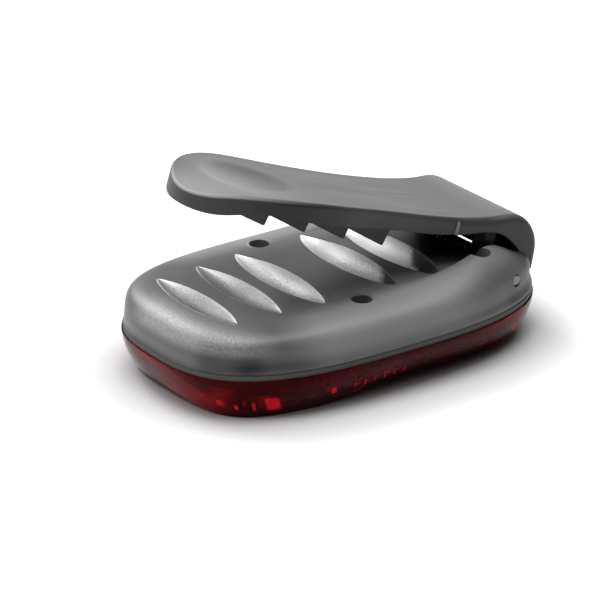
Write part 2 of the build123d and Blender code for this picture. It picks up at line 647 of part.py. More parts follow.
def lever_teeth():
    """Saw teeth across the underside, steep on the side towards the hinge."""
    points = [(TOOTH_FIRST_TIP + TOOTH_PITCH - 3 * TOOTH_STEEP_RUN, TOOTH_FIRST_TIP_V + TOOTH_STEEP_RISE)]
    for i in range(TOOTH_COUNT):
        u = TOOTH_FIRST_TIP - i * TOOTH_PITCH
        v = TOOTH_FIRST_TIP_V - i * TOOTH_TIP_FALL
        points += [(u, v), (u - TOOTH_STEEP_RUN, v + TOOTH_STEEP_RISE)]
    roof = BEND_CENTRE_V + BEND_RADIUS - LEVER_PLATE - 1.2
    last = points[-1][0]
    points += [(last - 1, roof), (points[0][0], roof)]
    face = make_face(Polyline(*[lever_point(u, v) for u, v in points], close=True))
    half_span = LEVER_HALF_WIDTH - LEVER_SIDE_WALL + TOOTH_WALL_REACH
    teeth = extrude(face, amount=half_span, dir=(0, 1, 0), both=True)
    tips = [e for e in teeth.edges().filter_by(Axis.Y)
            if any((e.center() - lever_point(*points[1 + 2 * i])).length < 0.01 for i in range(TOOTH_COUNT))]
    return fillet(tips, TOOTH_TIP_RADIUS)


def lever_slab(half_width):
    """The lever's side view as a slab of a given half width."""
    under = [lever_point(u, v) for u, v in LEVER_UNDER]
    top = lever_top_edges(0)
    lower = [Edge.make_line(top[-1] @ 1, under[0]), Edge.make_spline(under),
             Edge.make_line(under[-1], top[0] @ 0)]
    return side_slab(top + lower, half_width)


def under_plate(depth):
    """Everything below the lever's top surface by at least depth."""
    edges = lever_top_edges(depth)
    below_heel = Vector((edges[0] @ 0).X, 0, -BIG)
    return side_slab(close_by(edges, [lever_point(LEVER_REACH, -BIG), below_heel]), BIG)


def lever_shell():
    """Hood and thumb pad with rounded edges, hollow from below, and a dish for the thumb."""
    hood = lever_slab(HOOD_HALF_WIDTH)
    hood = fillet(hood.edges().filter_by(GeomType.CIRCLE), LEVER_HOOD_RADIUS)
    hood = hood & block(-HOOD_LENGTH, BIG, -BIG, BIG, -BIG, BIG)
    front = lever_slab(BIG) & lever_plan(0)
    long_edges = [e for e in front.edges()
                  if e.length > LEVER_REACH / 2 and e.center().Z > BEND_CENTRE_V + BEND_RADIUS / 2]
    front = fillet(long_edges, LEVER_EDGE_RADIUS) & block(-BIG, -HOOD_LENGTH, -BIG, BIG, -BIG, BIG)
    dish_v = LEVER_TOP[5][1] + THUMB_DISH_RADIUS - THUMB_DISH_DEPTH
    dish = Pos(-THUMB_CENTRE - THUMB_DISH_SHIFT, 0, dish_v) * Sphere(THUMB_DISH_RADIUS)
    return hood + front - (under_plate(LEVER_PLATE) & lever_plan(LEVER_SIDE_WALL)) - dish


def lever_knuckles():
    """Two barrels for the pin, each with a web up to the lever's plate."""
    inner, outer = KNUCKLE_INNER_Y, KNUCKLE_INNER_Y + KNUCKLE_LENGTH
    roof = BEND_CENTRE_V + BEND_RADIUS - LEVER_PLATE / 2
    knuckles = []
    for side in (-1, 1):
        near, far = sorted((side * inner, side * outer))
        knuckles.append(bar(0, near, far, 0, KNUCKLE_RADIUS))
        knuckles.append(block(-KNUCKLE_WEB / 2, KNUCKLE_WEB / 2, near, far, 0, roof))
    return knuckles


def clip_lever():
    """Grey moulded lever, built closed and level, then swung open on the pin."""
    teeth = lever_teeth() & under_plate(LEVER_PLATE / 2) & lever_plan(LEVER_SIDE_WALL / 2)
    lever = lever_shell() + ([teeth] + lever_knuckles())
    lever = lever - bar(0, -BIG, BIG, 0, PIN_RADIUS + PIN_RUNNING_GAP)
    return Pos(PIN_X, 0, PIN_Z) * Rot(0, OPEN_ANGLE, 0) * lever


# Cells and contacts

def battery(side, nub_way):
    """Slim cell lying along X, with its nub towards nub_way."""
    body = Pos(0, 0, -CELL_NUB_LENGTH / 2) * Cylinder(CELL_RADIUS, CELL_BODY_LENGTH)
    body = fillet(body.edges(), CELL_END_BEVEL)
    nub = Pos(0, 0, CELL_LENGTH / 2 - CELL_NUB_LENGTH) * Cylinder(CELL_NUB_RADIUS, 2 * CELL_NUB_LENGTH)
    first_x = CELL_FIRST_X if nub_way > 0 else CONTACT_LEFT_X + CONTACT_THICK + SEAT_GAP
    middle = Pos(first_x + CELL_LENGTH / 2, side * CELL_SPACING / 2, CELL_Z)
    return middle * Rot(0, 90 * nub_way, 0) * (body + nub)


def battery_cradle():
    """Open tray for the cells, with slots for the contacts and ears that lie on the board."""
    frame = block(CRADLE_START_X, CRADLE_END_X, -CRADLE_HALF_WIDTH, CRADLE_HALF_WIDTH,
                  CRADLE_FLOOR_Z, CRADLE_TOP_Z)
    for side in (-1, 1):
        reach = side * (CRADLE_HALF_WIDTH - CRADLE_WALL / 2), side * (CRADLE_HALF_WIDTH + CRADLE_EAR_REACH)
        for way in (-1, 1):
            x = CRADLE_MIDDLE_X + way * CRADLE_EAR_X
            frame = frame + block(x - CRADLE_EAR_LENGTH / 2, x + CRADLE_EAR_LENGTH / 2,
                                  min(reach), max(reach), BOARD_TOP_Z, BOARD_TOP_Z + CRADLE_WALL)
    first, last = CONTACT_LEFT_X, CONTACT_RIGHT_X + CONTACT_THICK
    radius = CELL_RADIUS + CRADLE_SIDE_GAP
    for side in (-1, 1):
        y = side * CELL_SPACING / 2
        frame = frame - Pos((first + last) / 2, y, CELL_Z) * Rot(0, 90, 0) * Cylinder(radius, last - first)
        frame = frame - block(first, last, y - radius, y + radius, CELL_Z, BIG)
    half = CELL_SPACING / 2 + CONTACT_WIDTH / 2 + SEAT_GAP
    for x in (first, last - CONTACT_THICK):
        frame = frame - block(x, x + CONTACT_THICK, -half, half, CRADLE_FLOOR_Z + CRADLE_WALL / 2, BIG)
    return frame


def contact_plate(x, y0, y1):
    """Sheet-metal plate that stands in a slot of the cradle."""
    foot = CRADLE_FLOOR_Z + CRADLE_WALL / 2
    return block(x, x + CONTACT_THICK, y0, y1, foot, foot + CONTACT_HEIGHT)


def contact_coil(x, side, way):
    """Tapered coil that presses on the flat end of a cell, wound in half-turn arcs."""
    halves = 2 * COIL_TURNS
    reach = CONTACT_ROOM - SEAT_GAP - COIL_WIRE / 2
    points = []
    for i in range(2 * halves + 1):
        share = i / (2 * halves)
        radius = COIL_BASE_RADIUS + (COIL_TOP_RADIUS - COIL_BASE_RADIUS) * share
        angle = math.pi * i / 2
        points.append(Vector(x + way * reach * share, side * CELL_SPACING / 2 + radius * math.cos(angle),
                             CELL_Z + radius * math.sin(angle)))
    path = Wire([Edge.make_three_point_arc(*points[2 * i:2 * i + 3]) for i in range(halves)])
    circle = Wire(Edge.make_circle(COIL_WIRE / 2, Plane(origin=path @ 0, z_dir=path % 0)))
    return Solid.sweep(circle, path=path)


def contact_tab(side):
    """Strip from a left-hand plate over the cradle's end wall and down to the board."""
    y0, y1 = sorted((side * CELL_SPACING / 2, side * (CELL_SPACING / 2 + TAB_WIDTH)))
    over = CRADLE_TOP_Z + SEAT_GAP
    outside = CRADLE_START_X - SEAT_GAP
    bridge = block(outside - CONTACT_THICK, CONTACT_LEFT_X + CONTACT_THICK / 2, y0, y1,
                   over, over + CONTACT_THICK)
    return bridge + block(outside - CONTACT_THICK, outside, y0, y1, BOARD_TOP_Z, over + CONTACT_THICK)


def negative_contact():
    """Plate and coil at the flat end of the first cell."""
    middle, half = CELL_SPACING / 2, CONTACT_WIDTH / 2
    plate = contact_plate(CONTACT_LEFT_X, middle - half, middle + half)
    return plate + contact_coil(CONTACT_LEFT_X + CONTACT_THICK, 1, 1) + contact_tab(1)


def positive_contact():
    """Flat plate at the nub of the second cell."""
    middle, half = -CELL_SPACING / 2, CONTACT_WIDTH / 2
    return contact_plate(CONTACT_LEFT_X, middle - half, middle + half) + contact_tab(-1)


def bridge_contact():
    """Wide plate that joins both cells at the hinge end, with a coil for the second."""
    half = CELL_SPACING / 2 + CONTACT_WIDTH / 2
    return contact_plate(CONTACT_RIGHT_X, -half, half) + contact_coil(CONTACT_RIGHT_X, -1, -1)


# Circuit board, lamps and switch

def circuit_board():
    """Ring-shaped board round the cradle, seated on the shoulders of the lens posts."""
    outline = lens_ring(BOARD_BOTTOM_Z, lens_share(BOARD_BOTTOM_Z), LENS_WALL + BOARD_WALL_GAP)
    board = Solid.extrude(Face(outline), Vector(0, 0, BOARD_THICK))
    gap = BOARD_CRADLE_GAP
    board = board - block(CRADLE_START_X - gap, CRADLE_END_X + gap, -CRADLE_HALF_WIDTH - gap,
                          CRADLE_HALF_WIDTH + gap, 0, BIG)
    return board - [post(x, y, 0, BIG, POST_RADIUS + SEAT_GAP) for x, y in SCREW_PLACES]


def led_y(i):
    """Place of a lamp across the light."""
    return (i - (LED_COUNT - 1) / 2) * LED_SPACING


def led(i):
    """Surface-mounted lamp under the board, with a domed top that faces the lens."""
    half = LED_BASE / 2
    base_z = BOARD_BOTTOM_Z - LED_BASE_HEIGHT
    base = block(LED_ROW_X - half, LED_ROW_X + half, led_y(i) - half, led_y(i) + half,
                 base_z, BOARD_BOTTOM_Z)
    base = chamfer(base.edges().filter_by(Axis.Z), 0.1 * LED_BASE)
    dome = Pos(LED_ROW_X, led_y(i), base_z) * Sphere(LED_DOME_RADIUS)
    return base + (dome & block(-BIG, BIG, -BIG, BIG, 0, base_z))


def led_reflector():
    """Plate under the board with a flared cup round each lamp."""
    top, plate_z = BOARD_BOTTOM_Z, BOARD_BOTTOM_Z - REFLECTOR_PLATE
    height = top - REFLECTOR_Z
    mouth, base = CUP_MOUTH_RADIUS, CUP_BASE_RADIUS
    rim = CUP_RIM_RADIUS
    end = led_y(LED_COUNT - 1)
    reflector = block(LED_ROW_X - rim, LED_ROW_X + rim, -end, end, plate_z, top)
    reflector = reflector + [post(LED_ROW_X, side * end, plate_z, top, rim) for side in (-1, 1)]
    places = [Pos(LED_ROW_X, led_y(i), REFLECTOR_Z + height / 2) for i in range(LED_COUNT)]
    reflector = reflector + [place * Cone(rim, base + CUP_WALL, height) for place in places]
    return reflector - [place * Cone(mouth, base, height) for place in places]


def controller_chip():
    """Small packaged circuit on top of the board, with gull legs on its long sides."""
    length, width, height = CHIP_SIZE
    x, y = SCREW_HINGE_X + CHIP_FROM_SCREW[0], SCREW_Y + CHIP_FROM_SCREW[1]
    foot = 0.2 * height
    body = block(x - length / 2, x + length / 2, y - width / 2, y + width / 2,
                 BOARD_TOP_Z + foot, BOARD_TOP_Z + height)
    body = chamfer(body.edges().group_by(Axis.Z)[-1], 0.1 * height)
    pitch = length / CHIP_LEGS_PER_SIDE
    legs = []
    for i in range(CHIP_LEGS_PER_SIDE):
        leg_x = x + (i - (CHIP_LEGS_PER_SIDE - 1) / 2) * pitch
        half_reach = width / 2 + CHIP_LEG_REACH
        legs.append(block(leg_x - CHIP_LEG_WIDTH / 2, leg_x + CHIP_LEG_WIDTH / 2, y - half_reach,
                          y + half_reach, BOARD_TOP_Z, BOARD_TOP_Z + 2 * foot))
    return body + legs


def board_resistors():
    """Row of small resistors on top of the board."""
    length, width, height = RESISTOR_SIZE
    resistors = []
    for i in range(RESISTOR_COUNT):
        x = SCREW_MIDDLE_X + RESISTORS_FROM_SCREW + i * RESISTOR_PITCH
        piece = block(x - width / 2, x + width / 2, -SCREW_Y - length / 2, -SCREW_Y + length / 2,
                      BOARD_TOP_Z, BOARD_TOP_Z + height)
        resistors.append(chamfer(piece.edges().filter_by(Axis.X), 0.15 * height))
    return Compound(children=[piece.solid() for piece in resistors])


def board_capacitor():
    """Can capacitor standing on a square seat."""
    x, y = SCREW_HINGE_X + CAPACITOR_FROM_SCREW, -SCREW_Y
    half = CAPACITOR_RADIUS
    seat = block(x - half, x + half, y - half, y + half, BOARD_TOP_Z, BOARD_TOP_Z + CAPACITOR_SEAT)
    can = post(x, y, BOARD_TOP_Z, BOARD_TOP_Z + CAPACITOR_HEIGHT, 0.92 * CAPACITOR_RADIUS)
    return seat + fillet(can.edges().group_by(Axis.Z)[-1], 0.15 * CAPACITOR_RADIUS)


def tactile_switch():
    """Square switch under the board, with a bore for its plunger."""
    half = SWITCH_SIDE / 2
    body = block(SWITCH_X - half, SWITCH_X + half, -half, half, SWITCH_BOTTOM_Z, BOARD_BOTTOM_Z)
    body = chamfer(body.edges().filter_by(Axis.Z), 0.1 * SWITCH_SIDE)
    depth = PLUNGER_DEPTH + BUTTON_TRAVEL + PLUNGER_END_GAP
    return body - post(SWITCH_X, 0, 0, SWITCH_BOTTOM_Z + depth, PLUNGER_RADIUS + SEAT_GAP)


def switch_plunger():
    """Plunger of the switch, resting on the button and moving with it."""
    return post(SWITCH_X, 0, PLUNGER_TIP_Z, SWITCH_BOTTOM_Z + PLUNGER_DEPTH, PLUNGER_RADIUS)


def power_button():
    """Round button in the lens face, held by a flange, with a shallow dimple for the finger."""
    flange_z = LENS_WALL + BUTTON_GAP
    cap = post(SWITCH_X, 0, BUTTON_RECESS, flange_z, BUTTON_RADIUS)
    cap = fillet(cap.edges().group_by(Axis.Z)[0], BUTTON_EDGE_RADIUS)
    cap = cap + post(SWITCH_X, 0, flange_z, flange_z + BUTTON_FLANGE_THICK, BUTTON_FLANGE_RADIUS)
    cap = cap + post(SWITCH_X, 0, flange_z, PLUNGER_TIP_Z, BUTTON_POST_RADIUS)
    dimple_z = BUTTON_RECESS + BUTTON_DIMPLE_DEPTH - BUTTON_DIMPLE_RADIUS
    return cap - Pos(SWITCH_X, 0, dimple_z) * Sphere(BUTTON_DIMPLE_RADIUS)


def reflex_panel():
    """Prismatic panel on the inside of the lens face, cut into pyramids by two sets of grooves."""
    top = LENS_WALL + PANEL_THICK + PRISM_HEIGHT
    panel = block(PANEL_START_X, PANEL_END_X, -PANEL_HALF_WIDTH, PANEL_HALF_WIDTH, LENS_WALL, top)
    length, width = PANEL_END_X - PANEL_START_X, 2 * PANEL_HALF_WIDTH
    grooves = []
    for size, turn in ((length, 0), (width, 90)):
        count = round(size / PRISM_PITCH)
        pitch = size / count
        notch = Polyline((-pitch / 2, 0), (pitch / 2, 0), (0, -PRISM_HEIGHT), close=True)
        for i in range(count + 1):
            face = Rot(90, 0, 0) * Pos(-size / 2 + i * pitch, 0, 0) * make_face(notch)
            groove = extrude(face, amount=length, dir=(0, 1, 0), both=True)
            grooves.append(Pos((PANEL_START_X + PANEL_END_X) / 2, 0, top) * Rot(0, 0, turn) * groove)
    return panel - grooves


def all_parts():
    """Every piece of the light by its name."""
    parts = {
        "rear_housing": rear_housing(),
        "lens": lens(),
        "lens_gasket": lens_gasket(),
        "housing_screws": housing_screws(),
        "hinge_pin": hinge_pin(),
        "clip_spring": clip_spring(),
        "clip_lever": clip_lever(),
        "reflex_panel": reflex_panel(),
        "led_reflector": led_reflector(),
        "circuit_board": circuit_board(),
        "controller_chip": controller_chip(),
        "board_resistors": board_resistors(),
        "board_capacitor": board_capacitor(),
        "tactile_switch": tactile_switch(),
        "switch_plunger": switch_plunger(),
        "power_button": power_button(),
        "battery_cradle": battery_cradle(),
        "battery_1": battery(1, 1),
        "battery_2": battery(-1, -1),
        "negative_contact": negative_contact(),
        "positive_contact": positive_contact(),
        "bridge_contact": bridge_contact(),
    }
    for i in range(LED_COUNT):
        parts[f"led_{i + 1}"] = led(i)
    return parts


os.makedirs("parts", exist_ok=True)
for name, piece in all_parts().items():
    export_step(piece, f"parts/{name}.step")
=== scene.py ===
import math

import bpy
from mathutils import Matrix, Vector

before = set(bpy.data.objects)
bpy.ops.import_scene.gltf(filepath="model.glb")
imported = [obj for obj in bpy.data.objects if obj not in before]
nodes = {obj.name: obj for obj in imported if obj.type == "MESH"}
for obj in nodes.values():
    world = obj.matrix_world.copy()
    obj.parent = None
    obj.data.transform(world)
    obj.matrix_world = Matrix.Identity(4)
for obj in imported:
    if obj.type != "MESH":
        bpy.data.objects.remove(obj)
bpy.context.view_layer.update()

scene = bpy.context.scene
MM = 0.001

# Camera of the photograph, in metres and degrees
CAMERA_PLACE = (-0.37574, -0.51933, 0.28490)
CAMERA_BACK = (-0.5317, -0.7495, 0.3944)
CAMERA_AZIMUTH = -35.351
CAMERA_LENS = 207.9
SENSOR_WIDTH = 36
CLIP_START = 0.05

# Softboxes: azimuth and height in degrees, size in metres and power in watts
LIGHTS = ((97, 36, 0.45, 5.4), (0, 90, 0.60, 5.0), (0, 60, 0.45, 1.4), (90, 60, 0.45, 0.6),
          (45, 15, 0.30, 0.8), (168, 52, 0.30, 1.4), (215, 48, 0.25, 0.7))
LIGHT_DISTANCE = 0.9
LIGHT_AIM = (0, 0, 0.01)
WORLD_LIGHT = 0.02

FLOOR_SIZE = 6
FLOOR_TONE = 0.85
FLOOR_ROUGHNESS = 0.9
FLOOR_SPECULAR = 0.1
FLOOR_SEEN_DROP = -0.30
FLOOR_GLOW = 0.52
# Painted contact shadow: within this reach of the object the floor's glow towards the camera fades, by
# ambient occlusion to this power
CONTACT_SHADOW_REACH = 15
CONTACT_SHADOW_POWER = 4.0

# Tables with places and lengths give them in millimetres. A patch is an amount of painted light or
# painted shade, with the spans where it holds: two places for a soft edge from none to full, or four
# for a soft rise and a soft fall. "side" is the distance from the middle plane. A grain is a
# noise's cell size, its detail and its stretch, and a gain is what it is multiplied by and what is
# added then.
HOUSING_TONE = 0.122
HOUSING_ROUGHNESS = 0.42
MOULD_GRAIN = 0.5
MOULD_DEPTH = 0.03
# Painted shade on the deck towards the hinge recess under the lever
RECESS_SHADE_PATCH = (-0.75, {"x": (17, 24), "side": (17.5, 14.5)})
# Painted highlights and painted shade, in turn: highlight on the flanks' upper band; shade low on the
# flanks by the free end, over the hinge end, on the free end's near corner and low on the flanks by the
# hinge; highlight on the top by the hinge
HOUSING_LIGHT_SHADE_PATCHES = (
    (1.00, {"x": (-29, -17, 8, 26), "side": (15, 20), "z": (9.6, 13.5)}),
    (-0.50, {"x": (-38, -32, -26, -17), "z": (15, 11)}),
    (-0.55, {"x": (30, 38)}),
    (-0.60, {"x": (-28, -33), "y": (-23.5, -20, -15, -10.5), "z": (16.3, 15.0)}),
    (-0.50, {"x": (25, 29, 34, 38), "z": (16.5, 13.5)}),
    (0.40, {"x": (22, 27), "z": (17.5, 19.0)}))
# Painted highlight along the shoulder at the free end, with a sparkling grain
SHOULDER_HIGHLIGHT = {"x": (-27, -36), "y": (12, 3), "z": (12.4, 14.6, 16.5, 17.9)}
SHOULDER_HIGHLIGHT_GRAIN = (0.35, 3.0)
SHOULDER_HIGHLIGHT_GAIN = (3.4, -0.2)

# Grooves: place along the light, half width, half length, end of the silver at the painted shadow's
# edge, its lean, middle tone (partly painted light, rising towards the hinge)
GROOVES = ((-32.2, 2.9, 14.0, -40, 0, 0.13), (-22.3, 3.25, 14.7, -40, 0, 0.14),
           (-12.4, 3.6, 15.4, -40, 0, 0.55), (4.3, 3.95, 16.1, -11.5, 4.5, 0.72),
           (14.7, 4.3, 16.8, -8.7, 7.7, 1.25))
GROOVE_TAPER = 0.75
GROOVE_EDGE = (1.03, 0.97)
# Painted highlight on the groove rims: its tone and how sharply it rises towards the rim
GROOVE_RIM_HIGHLIGHT = 1.15
GROOVE_RIM_POWER = 4.0
# Painted highlight on the far ends of the grooves: its share of the length and its gain
GROOVE_FAR_SHARE = 0.8
GROOVE_FAR_HIGHLIGHT = 0.9
# Painted shadow over the near ends of the grooves by the hinge: softness and raggedness of its edge, and
# its dark tone with a pale painted rim line
GROOVE_SHADOW_EDGE_SPAN = (-2.4, 1.8)
GROOVE_SHADOW_GAIN = (0.25, 0.05)
GROOVE_SHADOW_RIM = (0.90, 0.99)
GROOVE_SHADOW_RAGGEDNESS = 4
SHADOW_EDGE_GRAIN = (1.8, 3.0)
GLITTER_GRAIN = (0.30, 2.0)
GLITTER_GAIN = (1.5, -0.15)
SWEEP_GRAIN = (1.6, 2.0, (1, 0.15, 1))
SWEEP_AMOUNT = 0.8
GROOVE_METAL = 0.3
GROOVE_ROUGHNESS = 0.15

# Lever: its pivot in x and z, and its turn at rest. "reach" runs from the pivot towards the tip
# along the lever, and "height" across it.
LEVER_TONE = 0.048
LEVER_ROUGHNESS = 0.45
LEVER_SPECULAR = 0.35
LEVER_PIVOT = (30.0, 14.4)
LEVER_TURN = math.radians(18)
STREAK_SPAN = (6, 14, 32, 50)
STREAK_GRAIN = (2.4, 1.0, (0.10, 1, 0.10))
STREAK_AMOUNT = 1.9
# Painted highlight on the thumb pad's dish: its middle, squeeze across, edge, fall-off and amount
PAD_PLACE = (69, -3)
PAD_SQUEEZE = 0.8
PAD_EDGE = (32, 2)
PAD_POWER = 2.3
PAD_HIGHLIGHT_AMOUNT = 3.8
# Painted highlight on up-facing surfaces of the hood by the hinge
CROWN_HIGHLIGHT_PATCH = (1.0, {"reach": (5, -1)})
CROWN_FACING = (0.45, 0.75)
# Painted shade on the side walls towards the tip
WALL_SHADE_PATCH = (-0.75, {"reach": (32, 54)})
WALL_FACING = (0.65, 0.30)
SEAM_PLACE = 11.9
# Painted highlight: a pale line along the step on the lever's sides
SEAM_HIGHLIGHT_PATCH = (5.0, {"seam": (0.24, 0.10), "height": (9.0, 8.7), "side": (13.2, 13.6)})
# Painted shade on the inner faces between the lever's walls
HOLLOW_SHADE_PATCH = (-0.85, {"reach": (-10.2, -9.8, 12, 14), "height": (7.0, 6.6), "side": (12.6, 12.2)})
SOFT_PAD = {"reach": (28, 34, 62, 66), "side": (13, 10)}
SOFT_PAD_ROUND = 3.0
LEVER_ROUND = 0.3

# Painted highlights (glints) on prism facets inside the lens: place along the light, height and half
# sizes
FACETS = [(-29.6, 3.2, 1.7, 1.8), (-38.0, 3.4, 0.5, 0.8), (-35.6, 2.6, 0.35, 0.7),
          (-32.9, 2.8, 0.4, 1.1), (-17.2, 3.9, 0.7, 1.0), (30.0, 4.2, 0.9, 0.9), (31.6, 5.4, 0.4, 0.4)]
# Painted highlights on the ribs inside the lens, in the same columns
RIB_COUNT = 6
RIBS = [(-12.2 + 2.4 * i, 3.9, 0.22 + 0.06 * (i % 2), 0.9) for i in range(RIB_COUNT)]
FACET_LEAN = 0.37
FACET_EDGES = (0.6, 0.7)
FACET_SIDE = (9, 11)
FACET_GAIN = (0.8, 0.4)
# Painted glow: light as if shining through the low near corner of the free end
LENS_GLOW = (0.35, {"x": (-35.5, -38), "y": (3, -4), "z": (6.5, 3.5)})
LENS_DEEP = (0.34, 0.003, 0.010)
LENS_GLINT = (0.95, 0.015, 0.03, 1)
LENS_GRAIN = (2.5, 2.0)
LENS_DEEP_GAIN = (0.8, 0.6)
LENS_ROUGHNESS_GAIN = (0.05, 0.03)
LENS_CLEAR_GAIN = (-0.8, 0.92)
LENS_SETTINGS = {"IOR": 1.25, "Specular IOR Level": 0.05, "Specular Tint": (0.6, 0.25, 0.25, 1)}


# Shader helpers

def add(tree, kind, settings=None, **sockets):
    """New shader node with its settings and socket values; a node given as a value is linked."""
    node = tree.nodes.new(kind)
    for key, value in (settings or {}).items():
        setattr(node, key, value)
    for key, value in sockets.items():
        put(tree, node, key.replace("_", " "), value)
    return node


def put(tree, node, key, value):
    """Set a socket by its name or number, or link the first output of another node to it."""
    socket = node.inputs[int(key) if key.isdigit() else key]
    if isinstance(value, bpy.types.NodeSocket):
        tree.links.new(value, socket)
    elif isinstance(value, bpy.types.Node):
        tree.links.new(value.outputs[0], socket)
    else:
        socket.default_value = value


def maths(tree, operation, a, b=None, c=None):
    """Math node on one to three values."""
    node = add(tree, "ShaderNodeMath", {"operation": operation})
    for i, value in enumerate((a, b, c)):
        if value is not None:
            put(tree, node, str(i), value)
    return node


def product(tree, first, *others):
    """All values multiplied together."""
    for value in others:
        first = maths(tree, "MULTIPLY", first, value)
    return first


def scaled(tree, value, amount, start=1.0):
    """The start, plus the value times the amount."""
    return maths(tree, "MULTIPLY_ADD", value, amount, start)


def smooth_step(tree, value, start, end):
    """0 before start and 1 after end, with a soft passage between them."""
    return add(tree, "ShaderNodeMapRange", {"interpolation_type": "SMOOTHSTEP"},
               Value=value, From_Min=start, From_Max=end)


def span(tree, value, places):
    """Soft edge over two places in millimetres, or a soft rise and fall over four."""
    places = [place * MM for place in places]
    mask = smooth_step(tree, value, places[0], places[1])
    if len(places) == 4:
        mask = maths(tree, "MULTIPLY", mask, smooth_step(tree, value, places[3], places[2]))
    return mask


def spans(tree, axes, places):
    """Where the spans of all the named axes meet."""
    return product(tree, *(span(tree, axes[name], places[name]) for name in places))


def grey(value):
    """Neutral colour of a linear value."""
    return value, value, value, 1.0


def tone(tree, colour, factor):
    """The colour made lighter or darker by a factor map round 1."""
    if isinstance(colour, tuple):
        colour = colour[:3]
    return add(tree, "ShaderNodeVectorMath", {"operation": "SCALE"}, **{"0": colour, "Scale": factor})


def blend(tree, mask, colour, other):
    """The first colour where the mask is 0, and the other where it is 1."""
    mix = add(tree, "ShaderNodeMix", {"data_type": "RGBA"}, **{"0": mask, "6": colour, "7": other})
    return mix.outputs[2]


def coordinates(tree):
    """Object coordinates of the surface."""
    return add(tree, "ShaderNodeTexCoord").outputs["Object"]


def named_axes(tree, where):
    """The axes that patches name."""
    split = add(tree, "ShaderNodeSeparateXYZ", Vector=where)
    axes = {name: split.outputs[i] for i, name in enumerate("xyz")}
    axes["side"] = maths(tree, "ABSOLUTE", axes["y"])
    return axes


def start_material(name):
    """New material with its node tree and its Principled shader."""
    mat = bpy.data.materials.new(name)
    mat.use_nodes = True
    tree = mat.node_tree
    return mat, tree, tree.nodes["Principled BSDF"]


def noise(tree, where, millimetres, detail=3.0, stretch=None):
    """Noise whose cells are about that many millimetres wide."""
    if stretch:
        where = add(tree, "ShaderNodeMapping", Vector=where, Scale=stretch)
    return add(tree, "ShaderNodeTexNoise", Vector=where, Scale=1 / (millimetres * MM), Detail=detail)


def grained(name, colour, roughness, grain=0.35, depth=0.02, mottle=0.10, round_edges=0.25,
            stretch=None, **sockets):
    """Material with a fine grain in its relief, a soft mottle in its colour and uneven gloss."""
    mat, tree, shader = start_material(name)
    where = coordinates(tree)
    broad = noise(tree, where, 14.0, 2.0)
    fine = noise(tree, where, grain, 4.0, stretch)
    mix = scaled(tree, broad, 2 * mottle, 1 - mottle)
    mix = scaled(tree, fine, mottle, mix)
    put(tree, shader, "Base Color", tone(tree, colour, mix))
    put(tree, shader, "Roughness", scaled(tree, fine, 0.16, roughness - 0.08))
    edge = add(tree, "ShaderNodeBevel", {"samples": 4}, Radius=round_edges * MM)
    bump = add(tree, "ShaderNodeBump", Strength=0.6, Distance=depth * MM, Height=fine, Normal=edge)
    put(tree, shader, "Normal", bump)
    for key, value in sockets.items():
        put(tree, shader, key.replace("_", " "), value)
    return mat


def reopen(mat):
    """Tree, shader and colour of a grained material, with coordinates and axes for more."""
    tree = mat.node_tree
    shader = tree.nodes["Principled BSDF"]
    where = coordinates(tree)
    return tree, shader, shader.inputs["Base Color"].links[0].from_socket, where, named_axes(tree, where)


def dress(name, mat):
    """Give a CAD node its material."""
    data = nodes[name].data
    data.materials.clear()
    data.materials.append(mat)


# Camera, light and floor

def place_camera():
    """Camera at the photograph's viewing angle."""
    azimuth = math.radians(CAMERA_AZIMUTH)
    back = Vector(CAMERA_BACK).normalized()
    right = Vector((math.cos(azimuth), math.sin(azimuth), 0))
    data = bpy.data.cameras.new("camera")
    data.lens = CAMERA_LENS
    data.sensor_width = SENSOR_WIDTH
    data.clip_start = CLIP_START
    camera = bpy.data.objects.new("camera", data)
    turn = Matrix((right, back.cross(right), back)).transposed().to_4x4()
    camera.matrix_world = Matrix.Translation(CAMERA_PLACE) @ turn
    scene.collection.objects.link(camera)
    scene.camera = camera


def place_light(azimuth, height, size, power):
    """Square area light at a direction given in degrees, aimed at the object."""
    data = bpy.data.lights.new("softbox", "AREA")
    data.size = size
    data.energy = power
    light = bpy.data.objects.new("softbox", data)
    a, e = math.radians(azimuth), math.radians(height)
    way = Vector((math.cos(e) * math.cos(a), math.cos(e) * math.sin(a), math.sin(e)))
    light.location = way * LIGHT_DISTANCE
    light.rotation_euler = (light.location - Vector(LIGHT_AIM)).to_track_quat("Z", "Y").to_euler()
    scene.collection.objects.link(light)


def place_world():
    """Pale surroundings, white where the camera looks past the floor."""
    world = bpy.data.worlds.new("world")
    scene.world = world
    world.use_nodes = True
    tree = world.node_tree
    seen = add(tree, "ShaderNodeLightPath").outputs["Is Camera Ray"]
    background = tree.nodes["Background"]
    put(tree, background, "Color", grey(1.0))
    put(tree, background, "Strength", scaled(tree, seen, 1 - WORLD_LIGHT, WORLD_LIGHT))


def place_floor():
    """Plain white floor that keeps the light's shadow, with a painted contact shadow where its glow
    fades near the object.
    """
    bpy.ops.mesh.primitive_plane_add(size=FLOOR_SIZE, location=(0, 0, 0))
    floor = bpy.context.object
    floor.name = "floor"
    mat, tree, shader = start_material("floor")
    seen = add(tree, "ShaderNodeLightPath").outputs["Is Camera Ray"]
    put(tree, shader, "Base Color", tone(tree, grey(FLOOR_TONE), scaled(tree, seen, FLOOR_SEEN_DROP)))
    put(tree, shader, "Roughness", FLOOR_ROUGHNESS)
    put(tree, shader, "Specular IOR Level", FLOOR_SPECULAR)
    # Painted contact shadow: the glow seen by the camera fades near the object
    near = add(tree, "ShaderNodeAmbientOcclusion", {"samples": 16}, Distance=CONTACT_SHADOW_REACH * MM)
    glow = product(tree, maths(tree, "POWER", near.outputs["AO"], CONTACT_SHADOW_POWER), FLOOR_GLOW, seen)
    glow = add(tree, "ShaderNodeEmission", Color=grey(1.0), Strength=glow)
    both = add(tree, "ShaderNodeAddShader", **{"0": shader, "1": glow})
    put(tree, tree.nodes["Material Output"], "Surface", both)
    floor.data.materials.append(mat)


# Materials

